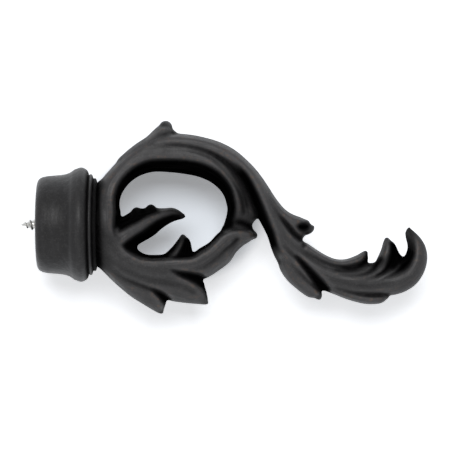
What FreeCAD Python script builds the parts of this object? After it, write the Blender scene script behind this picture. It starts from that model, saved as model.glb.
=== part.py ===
# Curtain pole finial: a scrolled acanthus-leaf casting on a socket collar, with a dowel screw.
# Millimetres. Origin at the centre of the socket's mouth, +X along the pole's axis away from the
# pole, +Z up. The scroll lies in the XZ plane and is the same on its front and back.
import FreeCAD, Part
import math
import os

V = FreeCAD.Vector

# The pole and its socket.
pole_diameter = 35.0
pole_clearance = 0.6
socket_depth = 16.0
rim_diameter = 43.8
lip_width = 1.8
bead_diameter = 51.2
bead_width = 5.0
bead_position = 19.3
neck_diameter = 37.4
neck_position = 27.3

# The dowel screw and its blind hole. The half in the casting has a slimmer shank, and the hole's
# mouth is wide enough for the full one.
screw_diameter = 5.2
screw_shank_diameter = 4.8
screw_length = 38.1
screw_point_length = 7.2
screw_point_diameter = 0.5
screw_reach = 7.4
screw_fit = 0.05
hole_mouth_depth = 0.8

# The ring of the scroll: its hole is close to an ellipse, and the foot is between neck and hole.
foot_width = 9.4
ring_z = 5.0
hole_half_width = 24.2
hole_half_height = 18.5
band_width = 17.0
ring_depth = 15.0
tail_depth = 9.5
leaf_unit = 1.0

bore_radius = (pole_diameter + pole_clearance) / 2
rim_radius = rim_diameter / 2
bead_radius = bead_diameter / 2
neck_radius = neck_diameter / 2
screw_radius = screw_diameter / 2
shank_radius = screw_shank_diameter / 2
screw_end = screw_length - screw_reach
ring_x = neck_position + foot_width + hole_half_width


def ring(angle, share):
    """A point at an angle round the ring, outward from its hole's edge by a share of the band."""
    t = math.radians(angle)
    nx, nz = math.cos(t) / hole_half_width, math.sin(t) / hole_half_height
    offset = share * band_width / math.hypot(nx, nz)
    return (ring_x + hole_half_width * math.cos(t) + offset * nx,
            ring_z + hole_half_height * math.sin(t) + offset * nz)


def at(dx, dz):
    """A point given from the middle of the ring, in leaf units."""
    return (ring_x + leaf_unit * dx, ring_z + leaf_unit * dz)


def section(first, second, depth):
    """The corners of a leaf section between two edge points, with its ridge on the front and back."""
    (x0, z0), (x1, z1) = first, second
    half = [(0.0, 0.36), (0.16, 0.80), (0.55, 1.0), (1.0, 0.40)]
    return [V(x0 + u * (x1 - x0), depth * y, z0 + u * (z1 - z0))
            for u, y in [(u, -y) for u, y in half] + half[::-1]]


def leaf(depth, rows):
    """A solid of long creased strips. Each row is two edge points and its share of the half depth."""
    corners = [section(first, second, share * depth) for first, second, share in rows]
    along = min(3, len(rows) - 1)
    spans = len(rows) - along
    faces = []
    count = len(corners[0])
    for i in range(count):
        strip = Part.BSplineSurface()
        strip.buildFromPolesMultsKnots(
            [[row[i] for row in corners], [row[(i + 1) % count] for row in corners]], [2, 2],
            [along + 1] + [1] * (spans - 1) + [along + 1], [0.0, 1.0],
            [float(k) for k in range(spans + 1)], False, False, 1, along)
        faces.append(strip.toShape())
    for row in (corners[0], corners[-1]):
        faces.append(Part.Face(Part.makePolygon(row + [row[0]])))
    shell = Part.makeShell(faces)
    shell.sewShape()
    solid = Part.makeSolid(Part.Shell(shell.Faces))
    if solid.Volume < 0:
        solid.reverse()
    return solid


# The socket collar, its bead, rings and neck, turned about the pole's axis.
lip = lip_width
bead = bead_width
rise = bead_radius - rim_radius
fall = bead_radius - neck_radius
outside = [
    (0.0, rim_radius - 1.17 * lip), (0.33 * lip, rim_radius - 0.61 * lip),
    (lip, rim_radius - 0.28 * lip), (2.7 * lip, rim_radius - 0.06 * lip),
    (bead_position - 1.78 * bead, rim_radius + 0.03 * rise),
    (bead_position - bead, rim_radius + 0.24 * rise),
    (bead_position - 0.58 * bead, rim_radius + 0.57 * rise),
    (bead_position - 0.30 * bead, rim_radius + 0.89 * rise),
    (bead_position, bead_radius), (bead_position + 0.28 * bead, bead_radius - 0.06 * fall),
    (bead_position + 0.50 * bead, bead_radius - 0.20 * fall),
    (bead_position + 0.66 * bead, bead_radius - 0.41 * fall),
    (bead_position + 0.80 * bead, bead_radius - 0.38 * fall),
    (bead_position + bead, bead_radius - 0.48 * fall),
    (bead_position + 1.10 * bead, bead_radius - 0.68 * fall),
    (bead_position + 1.36 * bead, bead_radius - 0.75 * fall),
    (neck_position - 0.14 * bead, neck_radius), (neck_position + 0.16 * bead, neck_radius),
    (neck_position + bead, neck_radius - 0.49 * fall),
    (neck_position + 1.4 * bead, neck_radius - 1.23 * fall)]
inside = [(neck_position + 1.52 * bead, 0.0), (socket_depth, 0.0), (socket_depth, bore_radius),
          (0.0, bore_radius), outside[0]]
collar_wire = Part.makePolygon([V(x, 0, r) for x, r in outside + inside])
collar = Part.Face(collar_wire).revolve(V(0, 0, 0), V(1, 0, 0), 360)

# The ring's band, from under the neck, over the top and down behind the long leaf.
band = leaf(ring_depth, [
    (ring(216, 0.70), ring(216, 0.0), 1.0),
    (ring(190, 0.63), ring(190, 0.03), 1.03),
    (ring(168, 0.68), ring(168, 0.07), 1.0),
    (ring(150, 0.76), ring(150, 0.14), 0.93),
    (ring(132, 0.81), ring(132, 0.16), 0.87),
    (ring(112, 0.92), ring(112, 0.12), 0.83),
    (ring(94, 1.01), ring(94, 0.035), 0.80),
    (ring(76, 1.03), ring(76, 0.0), 0.79),
    (ring(58, 1.06), ring(58, 0.035), 0.77),
    (ring(42, 1.06), ring(42, 0.06), 0.73),
    (ring(25, 0.90), ring(25, 0.053), 0.69),
    (ring(9, 0.74), ring(9, 0.03), 0.65),
    (ring(-6, 0.74), ring(-6, -0.012), 0.61),
    (ring(-18, 0.76), ring(-18, -0.03), 0.55)])

# The tail leaves the ring at its upper right and swings down and up to the curled tip.
tail = leaf(tail_depth, [
    (ring(62, 0.72), ring(62, 0.35), 0.63),
    (ring(46, 0.98), ring(46, 0.41), 0.95),
    (ring(31, 1.12), ring(31, 0.41), 1.06),
    (at(41.2, 13.5), at(32.6, 6.0), 1.03),
    (at(45.3, 6.8), at(36.3, -0.8), 1.0),
    (at(50.0, -0.6), at(39.8, -5.3), 0.98),
    (at(54.6, -7.6), at(43.0, -13.0), 0.95),
    (at(60.2, -13.8), at(47.5, -21.5), 0.93),
    (at(67.6, -19.2), at(54.0, -29.0), 0.89),
    (at(75.6, -22.2), at(67.0, -34.2), 0.84),
    (at(83.6, -23.6), at(80.0, -38.6), 0.79),
    (at(91.6, -24.0), at(92.4, -39.0), 0.74),
    (at(99.2, -21.2), at(105.4, -34.8), 0.63),
    (at(104.0, -17.6), at(113.0, -26.0), 0.50),
    (at(105.3, -12.0), at(114.4, -13.6), 0.35),
    (at(104.0, -6.2), at(105.8, -5.6), 0.095)])

# The leaves that grow from the foot of the ring.
long_leaf = leaf(ring_depth, [
    (at(-30.0, -6.0), at(-31.0, -23.0), 1.0),
    (at(-18.0, -16.0), at(-24.0, -29.0), 0.93),
    (at(-9.5, -18.5), at(-12.0, -33.5), 0.83),
    (at(-1.0, -17.8), at(-1.5, -35.0), 0.77),
    (at(8.2, -16.8), at(10.5, -32.0), 0.70),
    (at(15.5, -13.2), at(19.0, -26.8), 0.63),
    (at(21.0, -6.4), at(25.6, -20.0), 0.55),
    (at(28.6, -5.8), at(31.4, -14.0), 0.41),
    (at(36.9, -10.0), at(37.1, -11.8), 0.067)])
lower_leaf = leaf(ring_depth, [
    (at(-20.0, -18.0), at(-28.0, -28.0), 0.87),
    (at(-8.0, -22.0), at(-14.0, -36.0), 0.73),
    (at(2.0, -24.0), at(-1.0, -39.4), 0.60),
    (at(11.6, -27.6), at(7.0, -40.2), 0.40),
    (at(15.4, -39.0), at(13.8, -41.1), 0.067)])
back_leaf = leaf(ring_depth, [
    (at(-28.0, -16.0), at(-32.6, -25.0), 0.90),
    (at(-21.0, -23.0), at(-26.0, -31.6), 0.80),
    (at(-12.5, -30.5), at(-18.0, -37.7), 0.60),
    (at(-6.2, -34.6), at(-11.2, -42.0), 0.37),
    (at(-5.3, -42.8), at(-6.8, -44.7), 0.067)])
sprig = leaf(ring_depth, [
    (at(-26.0, -2.0), at(-23.0, -17.0), 0.70),
    (at(-19.4, 1.9), at(-15.2, -13.9), 0.53),
    (at(-12.6, 2.8), at(-9.2, -9.8), 0.43),
    (at(-7.2, 2.6), at(-4.6, -5.8), 0.32),
    (at(-1.4, 2.3), at(-0.8, -3.6), 0.23),
    (at(3.9, -0.2), at(4.4, -1.9), 0.067)])
sprig_bud = leaf(ring_depth, [
    (at(-12.5, -2.0), at(-6.5, -2.0), 0.24),
    (at(-12.2, 2.0), at(-7.4, 2.0), 0.19),
    (at(-11.2, 3.9), at(-9.0, 3.9), 0.08)])
thorn = leaf(ring_depth, [
    (at(-6.0, -22.0), at(11.0, -21.0), 0.40),
    (at(-2.2, -16.0), at(7.8, -15.6), 0.31),
    (at(2.2, -12.0), at(7.3, -11.9), 0.19),
    (at(4.0, -9.3), at(4.9, -9.4), 0.053)])

# The knob on the top of the ring and the leaves along the tail.
top_knob = leaf(ring_depth, [
    (at(-21.0, 27.5), at(-17.5, 22.5), 0.40),
    (at(-13.8, 33.0), at(-10.0, 27.5), 0.40),
    (at(-8.2, 37.3), at(-2.5, 31.5), 0.37),
    (at(-6.0, 40.2), at(1.0, 36.8), 0.31),
    (at(-4.6, 41.2), at(-1.2, 39.9), 0.16)])
tail_knob = leaf(tail_depth, [
    (at(42.0, 11.0), at(38.0, 3.0), 0.74),
    (at(47.5, 3.6), at(43.5, -3.5), 0.72),
    (at(52.6, -0.6), at(49.0, -9.0), 0.63),
    (at(57.3, -2.2), at(54.5, -10.8), 0.53),
    (at(61.1, -3.7), at(58.8, -9.5), 0.38),
    (at(62.4, -5.2), at(61.9, -6.9), 0.13)])
tail_leaf = leaf(tail_depth, [
    (at(50.0, -13.0), at(43.6, -14.5), 0.68),
    (at(55.2, -21.8), at(46.6, -22.4), 0.74),
    (at(59.8, -27.6), at(50.6, -30.0), 0.65),
    (at(64.4, -32.6), at(57.2, -35.3), 0.46),
    (at(66.6, -36.2), at(63.8, -38.0), 0.13)])
first_tip = leaf(tail_depth, [
    (at(61.6, -14.8), at(64.0, -23.0), 0.63),
    (at(69.6, -20.4), at(70.5, -26.4), 0.61),
    (at(77.6, -21.4), at(80.0, -26.4), 0.51),
    (at(83.6, -17.9), at(87.3, -23.5), 0.36),
    (at(85.9, -17.1), at(87.3, -18.2), 0.095)])
second_tip = leaf(tail_depth, [
    (at(76.0, -24.0), at(78.0, -31.0), 0.63),
    (at(86.0, -23.4), at(91.0, -29.0), 0.57),
    (at(92.4, -20.6), at(102.0, -21.6), 0.46),
    (at(94.2, -14.4), at(99.8, -14.0), 0.32),
    (at(94.7, -10.8), at(95.8, -11.0), 0.084)])
last_lobe = leaf(tail_depth, [
    (at(70.0, -27.0), at(65.0, -33.0), 0.53),
    (at(79.0, -31.0), at(75.0, -37.2), 0.57),
    (at(88.0, -33.0), at(86.0, -40.4), 0.51),
    (at(94.4, -34.0), at(92.4, -40.1), 0.36),
    (at(96.8, -35.9), at(95.6, -38.2), 0.13)])

casting = collar
for form in (band, tail, long_leaf, lower_leaf, back_leaf, sprig, sprig_bud, thorn, top_knob,
             tail_knob, tail_leaf, first_tip, second_tip, last_lobe):
    casting = casting.fuse(form)
screw_hole = Part.makeCylinder(shank_radius + screw_fit, screw_end - socket_depth + lip,
                               V(socket_depth - lip, 0, 0), V(1, 0, 0))
hole_mouth = Part.makeCylinder(screw_radius + screw_fit, hole_mouth_depth + lip,
                               V(socket_depth - lip, 0, 0), V(1, 0, 0))
casting = casting.cut(screw_hole.fuse(hole_mouth))
if casting.ShapeType != "Solid":
    casting = casting.Solids[0]

# The screw: a point and a full shank up to the socket's floor, then a slimmer shank in the casting.
full = screw_point_length - screw_reach
screw = Part.makeCone(screw_point_diameter / 2, screw_radius, screw_point_length,
                      V(-screw_reach, 0, 0), V(1, 0, 0))
screw = screw.fuse(Part.makeCylinder(screw_radius, socket_depth - full, V(full, 0, 0), V(1, 0, 0)))
screw = screw.fuse(Part.makeCylinder(shank_radius, screw_end - full, V(full, 0, 0), V(1, 0, 0)))

os.makedirs("parts", exist_ok=True)
casting.exportStep("parts/finial_casting.step")
screw.exportStep("parts/dowel_screw.step")
print("casting volume", round(casting.Volume), "solids", len(casting.Solids), "valid", casting.isValid())
print("screw solids", len(screw.Solids), "valid", screw.isValid())
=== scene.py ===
# The look of the curtain pole finial: a satin black leaf-scroll casting with its bright dowel screw.
# The part's frame: origin at the middle of the socket's mouth, +X along the pole, +Z up.
import bpy
import math
import numpy as np
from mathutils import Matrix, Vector


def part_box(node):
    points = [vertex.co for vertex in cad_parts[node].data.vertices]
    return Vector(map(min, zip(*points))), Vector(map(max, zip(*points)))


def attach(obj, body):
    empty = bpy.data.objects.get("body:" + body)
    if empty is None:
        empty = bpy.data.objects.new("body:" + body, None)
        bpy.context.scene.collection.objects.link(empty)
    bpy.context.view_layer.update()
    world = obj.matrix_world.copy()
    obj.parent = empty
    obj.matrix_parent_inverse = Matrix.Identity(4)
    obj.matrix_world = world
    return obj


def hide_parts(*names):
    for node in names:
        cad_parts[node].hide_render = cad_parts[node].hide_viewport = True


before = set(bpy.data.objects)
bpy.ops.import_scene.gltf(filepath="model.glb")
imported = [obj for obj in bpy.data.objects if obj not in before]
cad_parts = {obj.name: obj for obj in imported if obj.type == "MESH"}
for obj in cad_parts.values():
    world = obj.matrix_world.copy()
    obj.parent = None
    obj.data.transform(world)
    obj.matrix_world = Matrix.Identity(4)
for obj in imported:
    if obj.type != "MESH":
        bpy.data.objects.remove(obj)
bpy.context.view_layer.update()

MM = 0.001
casting_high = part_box("finial_casting")[1]
screw_low, screw_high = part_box("dowel_screw")

# Driving sizes in millimetres, as in the part's own source.
RING_X = 60.9
RING_Z = 5.0
HOLE_HALF_WIDTH = 24.2
HOLE_HALF_HEIGHT = 18.5
NECK_X = 27.3
SOCKET_DEPTH = 16.0
BORE_RADIUS = 17.8
RIM_RADIUS = 21.9
BEAD_RADIUS = casting_high.y / MM
BEAD_X = 19.3
NECK_RADIUS = 18.7
SCREW_RADIUS = screw_high.y / MM
SCREW_TIP = screw_low.x / MM
SCREW_LENGTH = 38.1

# The scroll is sculpted on a grid: the size of its cells, its corners in X and Z, and its half depth.
PITCH = 0.6
LOW = (24.0, -42.0)
HIGH = (176.0, 49.0)
HALF_DEEP = 20.5
# Distances from the surface are kept up to this one.
FAR = 6.0
# Every leaf is drawn this much wider, for what the net shaves off a thin edge.
EDGE = 0.18
# The relief is what stands off the face smoothed over this distance.
RELIEF_WIDTH = 1.1
# The reeding starts this much further along in each leaf, so that no two leaves match.
REED_SHIFT = 40
# A groove takes at most this share of a leaf's depth.
GROOVE_SHARE = 0.72
# How much painted shade goes in the socket, in cavities and at the outline, and where the painted shade
# is fullest or the painted highlight brightest: the depth of a groove, and how far a crest stands off the
# smoothed face.
PAINTED_BORE_SHADE = 0.6
PAINTED_CAVITY_SHADE = 0.9
PAINTED_OUTLINE_SHADE = 0.42
PAINTED_SHADE_DEPTH = 2.4
PAINTED_HIGHLIGHT_HEIGHT = 0.45


def ring(angle, offset):
    """A point round the ring's hole, offset outward from its edge, from the ring's middle."""
    t = math.radians(angle)
    nx, nz = math.cos(t) / HOLE_HALF_WIDTH, math.sin(t) / HOLE_HALF_HEIGHT
    n = math.hypot(nx, nz)
    return (HOLE_HALF_WIDTH * math.cos(t) + offset * nx / n,
            HOLE_HALF_HEIGHT * math.sin(t) + offset * nz / n)


def smooth_rows(rows, per_row=24):
    """Rows of numbers run through by a smooth curve, many to each given row."""
    rows = np.asarray(rows, float)
    padded = np.vstack([2 * rows[0] - rows[1], rows, 2 * rows[-1] - rows[-2]])
    out = []
    for i in range(1, len(padded) - 2):
        p0, p1, p2, p3 = padded[i - 1:i + 3]
        for u in np.linspace(0, 1, per_row, endpoint=False):
            out.append(0.5 * (2 * p1 + (p2 - p0) * u + (2 * p0 - 5 * p1 + 4 * p2 - p3) * u * u
                              + (3 * p1 - p0 - 3 * p2 + p3) * u ** 3))
    out.append(rows[-1])
    return np.array(out)


class Leaf:
    """A swept form in the XZ plane, the same on front and back, in millimetres from the ring's middle.

    Each row is an edge point, the other edge point, the half depth, where the ridge lies between
    the edges, and the powers that shape the section on each side of the ridge. The blend is how
    widely the leaf rounds into those before it, and the crest is half the flat on its ridge, at the
    root and at the tip. The shade is painted shade: how much darker the leaf is painted, at the root,
    past the middle and at the tip.
    """

    def __init__(self, rows, blend, crest=(0.0, 0.0), shade=0.0):
        self.shade = shade if isinstance(shade, tuple) else (shade, shade, shade)
        self.blend = blend
        self.crest = crest
        dense = smooth_rows([(*a, *b, *rest) for a, b, *rest in rows])
        shift = np.array([RING_X, RING_Z])
        self.first = dense[:, 0:2] + shift
        self.second = dense[:, 2:4] + shift
        self.deep = np.maximum(dense[:, 4], 0.3)
        self.ridge = np.clip(dense[:, 5], 0.05, 0.95)
        self.powers = np.clip(dense[:, 6:8], 1.0, 4.0)


# The two strands that make the ring: the inner one has the steep wall round the hole, painted in
# shade, ends behind the long leaf and is painted in shade towards that end, and the outer one runs on as
# the tail.
inner_strand = Leaf([
    (ring(222, 12.5), ring(222, 0.5), 14.8, 0.56, 2.8, 1.05),
    (ring(203, 11.3), ring(203, 0.3), 15.3, 0.6, 2.8, 1.05),
    (ring(190, 10.8), ring(190, 0.2), 15.5, 0.71, 2.8, 1.05),
    (ring(179, 11), ring(179, -0.3), 15.4, 0.76, 2.8, 1.05),
    (ring(167, 11.2), ring(167, 0.9), 15.1, 0.74, 2.8, 1.05),
    (ring(155, 12.3), ring(155, 1.7), 14.6, 0.69, 2.8, 1.05),
    (ring(143, 12.3), ring(143, 2.1), 14.1, 0.61, 2.8, 1.05),
    (ring(132, 13), ring(132, 2.2), 13.7, 0.57, 2.8, 1.05),
    (ring(122, 14.5), ring(122, 2), 13.4, 0.575, 2.8, 1.05),
    (ring(110, 16), ring(110, 1.3), 13.1, 0.59, 2.8, 1.05),
    (ring(95, 15.6), ring(95, 0), 12.8, 0.585, 2.7, 1.05),
    (ring(79, 14.6), ring(79, -0.5), 12.6, 0.535, 2.6, 1.05),
    (ring(62, 13.4), ring(62, -0.1), 12.4, 0.475, 2.4, 1.05),
    (ring(45, 12.4), ring(45, 0.4), 12, 0.46, 2.1, 1.05),
    (ring(27, 11.6), ring(27, 0.5), 11.2, 0.52, 1.7, 1.05),
    (ring(9, 11.8), ring(9, 0), 10.2, 0.62, 1.7, 1.1),
    (ring(1, 13), ring(1, -0.4), 9.4, 0.68, 2, 1.1),
    (ring(-4, 12.6), ring(-4, -0.6), 8.8, 0.68, 2, 1.1),
    (ring(-9, 11.3), ring(-9, -0.9), 8, 0.66, 1.8, 1.1),
    (ring(-16, 14), ring(-16, -1), 6.8, 0.68, 1.6, 1.2),
    (ring(-22, 9), ring(-22, -1), 5.6, 0.72, 1.6, 1.2)], blend=2.6, shade=(0.0, 0.0, 0.7))
outer_strand = Leaf([
    (ring(126, 13), ring(126, 8.5), 8, 0.5, 2.2, 2.2),
    (ring(108, 15.8), ring(108, 8.8), 11.4, 0.5, 2.2, 2.2),
    (ring(93, 17), ring(93, 9.6), 12.2, 0.5, 2.2, 2.2),
    (ring(79, 17.1), ring(79, 9.8), 12.3, 0.5, 2.2, 2),
    (ring(66, 17.4), ring(66, 9.8), 12.2, 0.5, 2.2, 1.9),
    (ring(56, 17.9), ring(56, 9.8), 12, 0.48, 2.2, 1.7),
    (ring(46, 18.2), ring(46, 10), 11.8, 0.46, 2.2, 1.5),
    (ring(36, 18.3), ring(36, 10.2), 11.6, 0.44, 2.2, 1.3),
    (ring(27, 18.8), ring(27, 10.2), 11.4, 0.44, 2.2, 1.2),
    ((41.2, 13.3), (33.2, 7.2), 11.2, 0.46, 2.2, 1.1),
    ((45.1, 6.6), (36.4, 0.2), 11, 0.51, 2.2, 1.05),
    ((48.7, 0.4), (39.2, -4.8), 10.8, 0.6, 2.2, 1.07),
    ((51.8, -5.0), (41.9, -10.1), 10.6, 0.66, 2.3, 1.15),
    ((55.0, -9.6), (43.7, -15.6), 10.4, 0.72, 2.3, 1.26),
    ((58.6, -13.2), (45.9, -20.7), 10.1, 0.7, 2.3, 1.4),
    ((62.6, -16.3), (49.4, -25.8), 9.8, 0.62, 2.3, 1.7),
    ((67.3, -19.1), (55.4, -29.4), 9.4, 0.52, 2.2, 2.1),
    ((72.4, -21.6), (62.4, -33.0), 9, 0.5, 2.1, 2.2),
    ((78.0, -23.1), (70.4, -35.3), 8.6, 0.5, 2, 2.3),
    ((83.6, -22.6), (79.6, -37.2), 8.2, 0.52, 1.9, 2.3),
    ((90.0, -22.0), (89.6, -36.9), 7.8, 0.54, 1.8, 2.3),
    ((96.6, -21.2), (99.8, -36.0), 7.4, 0.52, 1.5, 2.2),
    ((101.6, -19.7), (107.1, -32.5), 6.8, 0.46, 1.2, 2.1),
    ((104.0, -17.0), (111.4, -27.0), 6.2, 0.42, 1.2, 2),
    ((104.5, -14.2), (113.2, -20.6), 5.5, 0.42, 1.28, 2),
    ((103.8, -11.4), (112.5, -15.0), 4.6, 0.42, 1.3, 1.9),
    ((103.5, -8.9), (110.2, -10.9), 3.4, 0.42, 1.35, 1.8),
    ((103.8, -7.4), (107.2, -7.9), 2.2, 0.5, 1.5, 1.7),
    ((104.5, -6.6), (105.9, -6.8), 1.2, 0.5, 1.6, 1.6)], blend=0.8)

# The leaves that grow from the foot of the ring, each from its root to its tip.
long_leaf = Leaf([
    ((-29.0, -6.0), (-32.0, -21.0), 15, 0.3, 1.1, 2.6),
    ((-20.0, -13.0), (-28.0, -26.0), 14.6, 0.26, 1.1, 2.6),
    ((-13.6, -18.0), (-18.6, -30.6), 13.8, 0.2, 1.1, 2.6),
    ((-7.0, -18.6), (-8.6, -33.4), 13, 0.17, 1.1, 2.6),
    ((0.0, -17.9), (0.0, -33.4), 12.2, 0.19, 1.1, 2.5),
    (ring(289, 0.3), (7.6, -30.4), 11.7, 0.21, 1.1, 2.4),
    ((11.6, -15.6), (14.6, -28.7), 11.3, 0.2, 1.1, 2.3),
    ((15.9, -13.0), (20.2, -25.3), 11, 0.18, 1.1, 2.2),
    ((20.0, -8.8), (24.9, -21.6), 10.6, 0.17, 1.15, 2.1),
    ((24.0, -6.7), (27.9, -17.2), 9.9, 0.2, 1.4, 2),
    ((29.1, -6.0), (31.2, -14.1), 8.6, 0.3, 1.6, 1.9),
    ((34.2, -7.1), (34.1, -12.4), 6.4, 0.4, 1.7, 1.8),
    ((36.0, -8.1), (35.3, -11.4), 4.4, 0.5, 1.8, 1.8)], blend=0.8)
lower_leaf = Leaf([
    ((-25.0, -13.0), (-32.8, -22.2), 13.6, 0.5, 1.9, 2.2),
    ((-16.9, -19.9), (-24.6, -30.2), 12.8, 0.46, 1.9, 2.2),
    ((-7.1, -23.1), (-13.0, -35.3), 11.8, 0.3, 1.6, 2.2),
    ((1.9, -24.4), (-3.1, -38.5), 10.8, 0.17, 1.15, 2.2),
    ((8.6, -25.8), (2.8, -39.6), 9.6, 0.31, 1.1, 2.2),
    ((13.4, -30.0), (8.3, -40.2), 7.8, 0.36, 1.1, 2.1),
    ((14.5, -34.7), (11.9, -40.5), 5.2, 0.34, 1.1, 2),
    ((15.1, -38.3), (13.8, -40.7), 2.8, 0.4, 1.3, 1.9),
    ((15.2, -39.9), (14.9, -40.5), 1, 0.5, 1.7, 1.8)], blend=0.7)
back_leaf = Leaf([
    ((-28.0, -17.0), (-32.7, -24.6), 12.8, 0.45, 1.9, 2.2),
    ((-22.0, -24.4), (-26.4, -30.8), 11.4, 0.42, 1.9, 2.2),
    ((-14.2, -29.8), (-19.6, -36.6), 10, 0.3, 1.5, 2.2),
    ((-7.5, -33.8), (-13.4, -40.6), 8.2, 0.24, 1.1, 2.1),
    ((-2.9, -38.0), (-9.1, -43.2), 6.2, 0.4, 1.1, 2),
    ((-3.7, -40.4), (-6.9, -44.4), 3.6, 0.42, 1.2, 1.9),
    ((-5.0, -43.4), (-5.8, -44.9), 1, 0.5, 1.7, 1.7)], blend=0.7)
# the sprig is painted in shade towards its tip
sprig = Leaf([
    ((-28.5, -5.6), (-19.6, -17.3), 15, 0.52, 1.1, 1.1),
    ((-25.4, -3.4), (-17.4, -15.0), 14.2, 0.54, 1.05, 1.05),
    ((-22.3, -1.2), (-14.7, -13.2), 13.2, 0.55, 1.05, 1.05),
    ((-18.3, 1.1), (-11.8, -11.6), 12, 0.55, 1.05, 1.05),
    ((-14.2, 2.2), (-8.4, -9.5), 10.6, 0.49, 1.05, 1.05),
    ((-9.8, 2.4), (-5.0, -6.5), 8.8, 0.44, 1.1, 1.05),
    ((-4.8, 2.2), (-1.5, -4.3), 7, 0.36, 1.45, 1.05),
    ((-0.4, 2.4), (1.4, -3.1), 5, 0.32, 1.6, 1.1),
    ((2.5, 1.1), (3.7, -2.5), 3, 0.36, 1.6, 1.3),
    ((4.4, -0.5), (4.7, -2.0), 1, 0.5, 1.6, 1.6)], blend=1.6, crest=(1.9, 0.0), shade=(0.0, 0.2, 0.75))
sprig_root = Leaf([
    ((-32.1, -3.4), (-29.4, -14.6), 14.5, 0.5, 2.2, 2),
    ((-29.0, -3.8), (-26.5, -14.6), 14.6, 0.5, 2.1, 2),
    ((-25.6, -5.0), (-23.6, -14.1), 14.2, 0.5, 1.9, 1.9),
    ((-22.7, -6.7), (-21.2, -12.3), 12.8, 0.5, 1.8, 1.8)], blend=2.0)
# the buds are painted in shade all over
first_bud = Leaf([
    ((-20.3, -3.8), (-14.2, -3.8), 8.4, 0.5, 1.5, 1.5),
    ((-19.7, -1.3), (-14.2, -1.3), 6.8, 0.5, 1.7, 1.7),
    ((-18.8, 0.5), (-14.5, 0.5), 5, 0.5, 1.8, 1.8)], blend=0.9, shade=0.92)
second_bud = Leaf([
    ((-14.2, -2.9), (-7.1, -2.9), 7.4, 0.5, 1.5, 1.5),
    ((-13.5, -0.2), (-7.4, -0.2), 6, 0.5, 1.7, 1.7),
    ((-12.4, 1.8), (-8.1, 1.8), 4.4, 0.5, 1.8, 1.8)], blend=0.9, shade=0.92)
thorn = Leaf([
    ((-8.4, -21.7), (9.9, -20.8), 8.8, 0.28, 1.15, 1.2),
    ((-5.1, -19.1), (8.8, -18.0), 8, 0.34, 1.1, 1.1),
    ((-2.8, -17.0), (8.2, -16.1), 7, 0.38, 1.1, 1.1),
    ((-0.7, -14.9), (7.9, -14.0), 5.8, 0.38, 1.1, 1.1),
    ((1.0, -12.8), (7.2, -12.0), 4.6, 0.4, 1.1, 1.1),
    ((2.1, -11.3), (6.2, -10.8), 3.4, 0.44, 1.2, 1.2),
    ((2.9, -10.5), (5.1, -10.3), 2.2, 0.5, 1.5, 1.5)], blend=0.7)

# The knob on the ring's top, and the leaves and curled tips of the tail.
top_knob = Leaf([
    ((-23.8, 24.8), (-19.8, 20.8), 9.5, 0.5, 2.2, 2.2),
    ((-17.3, 29.9), (-13.2, 25.0), 11, 0.5, 2.2, 2.2),
    ((-13.2, 32.9), (-8.0, 27.4), 11.2, 0.5, 2.2, 2.2),
    ((-10.0, 36.1), (-2.6, 29.4), 10.4, 0.5, 2.1, 2.2),
    ((-7.7, 38.3), (1.3, 33.0), 9, 0.5, 2.1, 2.1),
    ((-7.1, 38.9), (0.7, 36.3), 8, 0.5, 2.1, 2.1),
    ((-6.4, 39.1), (-0.9, 37.8), 6.6, 0.5, 2, 2)], blend=2.0)
tail_knob = Leaf([
    ((41.5, 12.4), (39.0, 6.0), 9, 0.4, 2, 1.8),
    ((46.0, 6.0), (43.6, -1.0), 9.2, 0.36, 2, 1.7),
    ((49.5, 1.9), (47.4, -6.0), 9, 0.32, 1.9, 1.6),
    ((52.7, -0.3), (51.6, -9.6), 8.4, 0.28, 1.8, 1.6),
    ((56.3, -1.7), (56.4, -12.0), 7.4, 0.26, 1.8, 1.7),
    ((57.8, -2.3), (57.6, -11.0), 7, 0.3, 1.8, 1.9),
    ((58.6, -2.8), (58.7, -9.6), 6.2, 0.34, 1.8, 1.9)], blend=0.7)
tail_leaf = Leaf([
    ((50.6, -9.6), (47.2, -12.0), 8, 0.5, 1.9, 1.9),
    ((53.2, -15.0), (47.4, -17.6), 9.4, 0.5, 1.8, 2),
    ((55.8, -20.6), (47.2, -23.7), 9.4, 0.5, 1.7, 1.8),
    ((59.0, -26.0), (50.4, -29.3), 8.6, 0.44, 1.6, 2.2),
    ((62.4, -30.8), (55.2, -33.8), 7.4, 0.38, 1.5, 2.2),
    ((65.8, -34.4), (60.2, -37.3), 5.4, 0.36, 1.5, 2.1),
    ((66.0, -35.7), (63.3, -37.7), 3.2, 0.4, 1.6, 2)], blend=0.6)
first_tip = Leaf([
    ((59.5, -13.4), (58.0, -19.0), 8.8, 0.4, 2, 1.6),
    ((66.0, -17.7), (65.2, -23.4), 8.8, 0.38, 2, 1.5),
    ((71.6, -20.3), (72.0, -25.6), 8.2, 0.36, 2, 1.4),
    ((76.6, -20.6), (78.4, -25.4), 7.4, 0.36, 1.9, 1.4),
    ((81.4, -19.0), (84.4, -23.6), 6.2, 0.38, 1.8, 1.5),
    ((84.2, -17.4), (87.2, -20.8), 4.6, 0.44, 1.7, 1.2),
    ((84.9, -17.1), (86.6, -18.2), 2.4, 0.5, 1.7, 1.7)], blend=0.6)
second_tip = Leaf([
    ((74.0, -25.6), (76.0, -31.0), 8.2, 0.4, 1.4, 1.4),
    ((82.6, -26.0), (86.0, -32.0), 8.2, 0.36, 1.3, 1.3),
    ((88.6, -23.6), (97.6, -29.0), 7.8, 0.32, 1.3, 1.2),
    ((91.0, -20.0), (102.4, -20.2), 7, 0.3, 1.5, 1.1),
    ((92.8, -16.2), (100.7, -16.8), 5.8, 0.34, 1.6, 1.1),
    ((93.7, -13.0), (98.6, -13.3), 4.2, 0.42, 1.7, 1.2),
    ((94.3, -11.6), (96.3, -11.8), 2.2, 0.5, 1.7, 1.5)], blend=0.6)
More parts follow.
